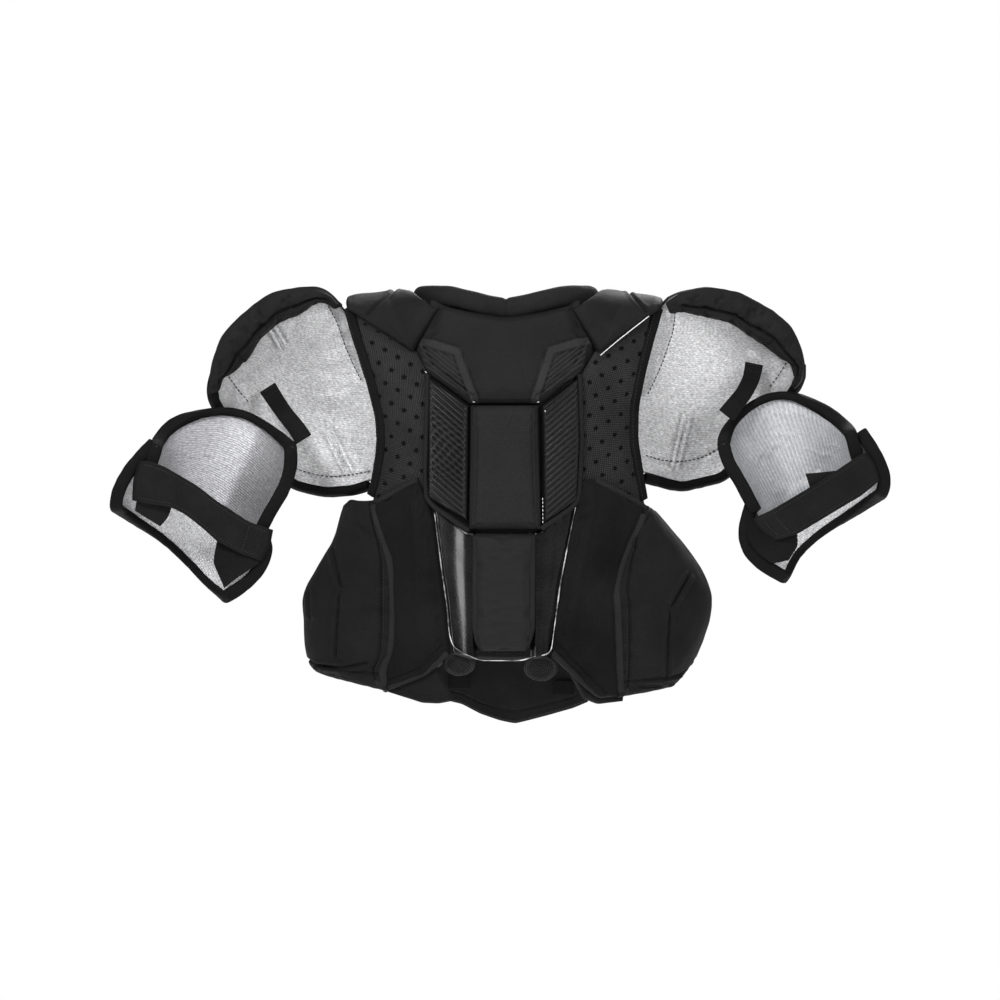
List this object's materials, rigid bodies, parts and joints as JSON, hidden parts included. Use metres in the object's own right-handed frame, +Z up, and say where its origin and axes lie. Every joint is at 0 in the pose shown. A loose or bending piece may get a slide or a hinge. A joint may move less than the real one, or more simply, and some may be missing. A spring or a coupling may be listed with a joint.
{
  "type": "hockey shoulder pads",
  "caption": "Adult ice-hockey shoulder pads: padded vest with segmented spine, hinged chest, side wraps, shoulder caps and strapped biceps guards.",
  "frame": {"origin": "middle of the neck-and-shoulder rest, on the centreline at the height of the shoulder seams; the wearer's shoulders hold the part up there", "axes": "+Z up as worn, +Y the way the wearer faces, +X to the wearer's right"},
  "size_m": [0.8586, 0.2421, 0.4865],
  "materials": {
    "back_liner": "dark grey lining",
    "back_base_panel": "black-grey perforated woven panel",
    "upper_back_pad": "black padded cloth",
    "left_ribbed_plate": "black padded cloth",
    "right_ribbed_plate": "black padded cloth",
    "upper_spine_pad": "black padded cloth",
    "left_lower_back_pad": "black padded cloth",
    "right_lower_back_pad": "black padded cloth",
    "left_kidney_pad": "black padded cloth",
    "right_kidney_pad": "black padded cloth",
    "left_spine_tab": "black-grey perforated woven panel",
    "right_spine_tab": "black-grey perforated woven panel",
    "left_collar_roll": "black padded cloth",
    "right_collar_roll": "black padded cloth",
    "left_shoulder_yoke": "black padded cloth",
    "right_shoulder_yoke": "black padded cloth",
    "left_armhole_binding": "black folded edge tape",
    "right_armhole_binding": "black folded edge tape",
    "lower_spine_plate": "glossy black moulded plate",
    "lower_spine_pad": "black padded cloth",
    "spine_plate_piping": "thin pale cord piping",
    "chest_liner": "dark grey lining",
    "chest_base_panel": "black-grey perforated woven panel",
    "left_chest_plate": "black moulded plate, satin",
    "right_chest_plate": "black moulded plate, satin",
    "sternum_plate": "black padded cloth",
    "left_front_collar": "black padded cloth",
    "right_front_collar": "black padded cloth",
    "left_front_loop_panel": "black padded cloth",
    "right_front_loop_panel": "black padded cloth",
    "belly_guard_pad": "black padded cloth",
    "left_belly_patch": "black padded cloth",
    "right_belly_patch": "black padded cloth",
    "left_side_wrap": "black padded cloth",
    "left_wrap_hook_tab": "black woven webbing",
    "left_cap_shell": "black padded cloth",
    "left_cap_liner": "silver-grey brushed woven lining",
    "left_cap_roll": "black padded cloth",
    "left_cap_binding": "black folded edge tape",
    "left_biceps_plate": "black padded cloth",
    "left_biceps_liner": "silver-grey brushed woven lining",
    "left_biceps_binding": "black folded edge tape",
    "left_cap_elastic": "black woven webbing",
    "left_cuff_pad": "black padded cloth",
    "left_cuff_liner": "silver-grey brushed woven lining",
    "left_biceps_strap": "black woven webbing",
    "right_side_wrap": "black padded cloth",
    "right_wrap_hook_tab": "black woven webbing",
    "right_cap_shell": "black padded cloth",
    "right_cap_liner": "silver-grey brushed woven lining",
    "right_cap_roll": "black padded cloth",
    "right_cap_binding": "black folded edge tape",
    "right_biceps_plate": "black padded cloth",
    "right_biceps_liner": "silver-grey brushed woven lining",
    "right_biceps_binding": "black folded edge tape",
    "right_cap_elastic": "black woven webbing",
    "right_cuff_pad": "black padded cloth",
    "right_cuff_liner": "silver-grey brushed woven lining",
    "right_biceps_strap": "black woven webbing"
  },
  "bodies": {
    "vest": {"back_liner": "back_liner", "back_base_panel": "back_base_panel", "upper_back_pad": "upper_back_pad", "left_ribbed_plate": "left_ribbed_plate", "right_ribbed_plate": "right_ribbed_plate", "upper_spine_pad": "upper_spine_pad", "left_lower_back_pad": "left_lower_back_pad", "right_lower_back_pad": "right_lower_back_pad", "left_kidney_pad": "left_kidney_pad", "right_kidney_pad": "right_kidney_pad", "left_spine_tab": "left_spine_tab", "right_spine_tab": "right_spine_tab", "left_collar_roll": "left_collar_roll", "right_collar_roll": "right_collar_roll", "left_shoulder_yoke": "left_shoulder_yoke", "right_shoulder_yoke": "right_shoulder_yoke", "left_armhole_binding": "left_armhole_binding", "right_armhole_binding": "right_armhole_binding"},
    "lower_spine": {"lower_spine_plate": "lower_spine_plate", "lower_spine_pad": "lower_spine_pad", "spine_plate_piping": "spine_plate_piping"},
    "chest": {"chest_liner": "chest_liner", "chest_base_panel": "chest_base_panel", "left_chest_plate": "left_chest_plate", "right_chest_plate": "right_chest_plate", "sternum_plate": "sternum_plate", "left_front_collar": "left_front_collar", "right_front_collar": "right_front_collar", "left_front_loop_panel": "left_front_loop_panel", "right_front_loop_panel": "right_front_loop_panel"},
    "belly_guard": {"belly_guard_pad": "belly_guard_pad", "left_belly_patch": "left_belly_patch", "right_belly_patch": "right_belly_patch"},
    "left_wrap": {"left_side_wrap": "left_side_wrap", "left_wrap_hook_tab": "left_wrap_hook_tab"},
    "left_cap": {"left_cap_shell": "left_cap_shell", "left_cap_liner": "left_cap_liner", "left_cap_roll": "left_cap_roll", "left_cap_binding": "left_cap_binding"},
    "left_biceps": {"left_biceps_plate": "left_biceps_plate", "left_biceps_liner": "left_biceps_liner", "left_biceps_binding": "left_biceps_binding", "left_cap_elastic": "left_cap_elastic"},
    "left_cuff": {"left_cuff_pad": "left_cuff_pad", "left_cuff_liner": "left_cuff_liner"},
    "left_strap": {"left_biceps_strap": "left_biceps_strap"},
    "right_wrap": {"right_side_wrap": "right_side_wrap", "right_wrap_hook_tab": "right_wrap_hook_tab"},
    "right_cap": {"right_cap_shell": "right_cap_shell", "right_cap_liner": "right_cap_liner", "right_cap_roll": "right_cap_roll", "right_cap_binding": "right_cap_binding"},
    "right_biceps": {"right_biceps_plate": "right_biceps_plate", "right_biceps_liner": "right_biceps_liner", "right_biceps_binding": "right_biceps_binding", "right_cap_elastic": "right_cap_elastic"},
    "right_cuff": {"right_cuff_pad": "right_cuff_pad", "right_cuff_liner": "right_cuff_liner"},
    "right_strap": {"right_biceps_strap": "right_biceps_strap"}
  },
  "joints": [
    {"name": "chest_hinge", "type": "hinge", "parent": "vest", "child": "chest", "pos_m": [0, 0.082, -0.0385], "axis": [1, 0, 0], "range_deg": [0, 35]},
    {"name": "belly_guard_slide", "type": "slide", "parent": "chest", "child": "belly_guard", "axis": [0, 0, -1], "range_m": [0, 0.03]},
    {"name": "lower_spine_flex", "type": "hinge", "parent": "vest", "child": "lower_spine", "pos_m": [0, -0.1185, -0.2334], "axis": [-1, 0, 0], "range_deg": [0, 15], "stiffness_Nm_per_rad": 0.5, "springref_deg": -3.44},
    {"name": "left_wrap_hinge", "type": "hinge", "parent": "vest", "child": "left_wrap", "pos_m": [-0.134, -0.075, -0.33], "axis": [0, 0, 1], "range_deg": [0, 20]},
    {"name": "left_cap_hinge", "type": "hinge", "parent": "vest", "child": "left_cap", "pos_m": [-0.18, 0, -0.004], "axis": [0, 1, 0], "range_deg": [0, 50]},
    {"name": "left_biceps_swing", "type": "hinge", "parent": "left_cap", "child": "left_biceps", "pos_m": [-0.2688, 0.002, -0.09744], "axis": [-0.8971, 0, 0.4418], "range_deg": [0, 25]},
    {"name": "left_cuff_flex", "type": "hinge", "parent": "left_biceps", "child": "left_cuff", "pos_m": [-0.3416, -0.008, -0.23296], "axis": [0.8971, 0, -0.4418], "range_deg": [0, 15]},
    {"name": "left_strap_open", "type": "hinge", "parent": "left_biceps", "child": "left_strap", "pos_m": [-0.26656, -0.085, -0.27328], "axis": [0.4418, 0, 0.8971], "range_deg": [0, 100]},
    {"name": "right_wrap_hinge", "type": "hinge", "parent": "vest", "child": "right_wrap", "pos_m": [0.127, -0.075, -0.33], "axis": [0, 0, -1], "range_deg": [0, 20]},
    {"name": "right_cap_hinge", "type": "hinge", "parent": "vest", "child": "right_cap", "pos_m": [0.18, 0, -0.006], "axis": [0, -1, 0], "range_deg": [0, 50]},
    {"name": "right_biceps_swing", "type": "hinge", "parent": "right_cap", "child": "right_biceps", "pos_m": [0.27888, -0.001, -0.07392], "axis": [-0.8682, 0, -0.4961], "range_deg": [0, 25]},
    {"name": "right_cuff_flex", "type": "hinge", "parent": "right_biceps", "child": "right_cuff", "pos_m": [0.34216, -0.008, -0.21616], "axis": [0.8682, 0, 0.4961], "range_deg": [0, 15]},
    {"name": "right_strap_open", "type": "hinge", "parent": "right_biceps", "child": "right_strap", "pos_m": [0.28672, -0.085, -0.25984], "axis": [0.4961, 0, -0.8682], "range_deg": [0, 100]}
  ]
}
